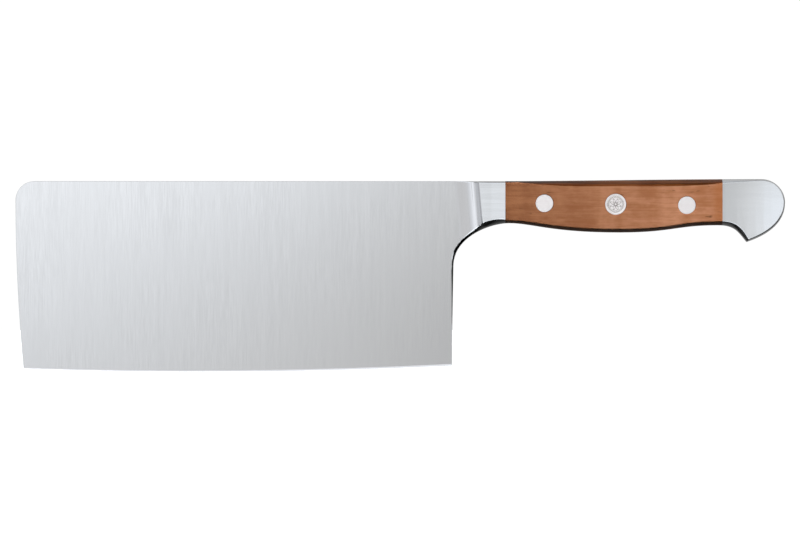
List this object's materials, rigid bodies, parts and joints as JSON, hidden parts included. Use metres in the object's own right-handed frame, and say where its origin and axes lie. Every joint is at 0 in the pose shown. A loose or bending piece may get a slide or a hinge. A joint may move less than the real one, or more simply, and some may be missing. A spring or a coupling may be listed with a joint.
{
  "type": "cleaver",
  "caption": "Forged kitchen cleaver: tall bevelled blade, bolsters and full tang in a single forging, with wooden grip scales held by flush rivets.",
  "frame": {"origin": "in the middle plane, under the middle of the knife's length, on the level of the lowest point of the edge", "axes": "+X from the front end of the blade to the end of the handle, +Y through the thickness, away from the side that the picture shows, +Z from the edge to the spine"},
  "size_m": [0.3172, 0.0188, 0.0794],
  "materials": {
    "blade_steel": "finely ground blade faces with the grinding lines from spine to edge, polished bolsters",
    "pearwood": "oiled pearwood, grain along the handle",
    "rivet_metal": "pale nickel alloy, polished flush with the wood"
  },
  "bodies": {
    "root": {"blade_forging": "blade_steel", "left_scale": "pearwood", "right_scale": "pearwood", "front_rivet_stud": "rivet_metal", "front_rivet_sleeve": "rivet_metal", "middle_rivet_stud": "rivet_metal", "middle_rivet_sleeve": "rivet_metal", "rear_rivet_stud": "rivet_metal", "rear_rivet_sleeve": "rivet_metal"}
  },
  "joints": []
}
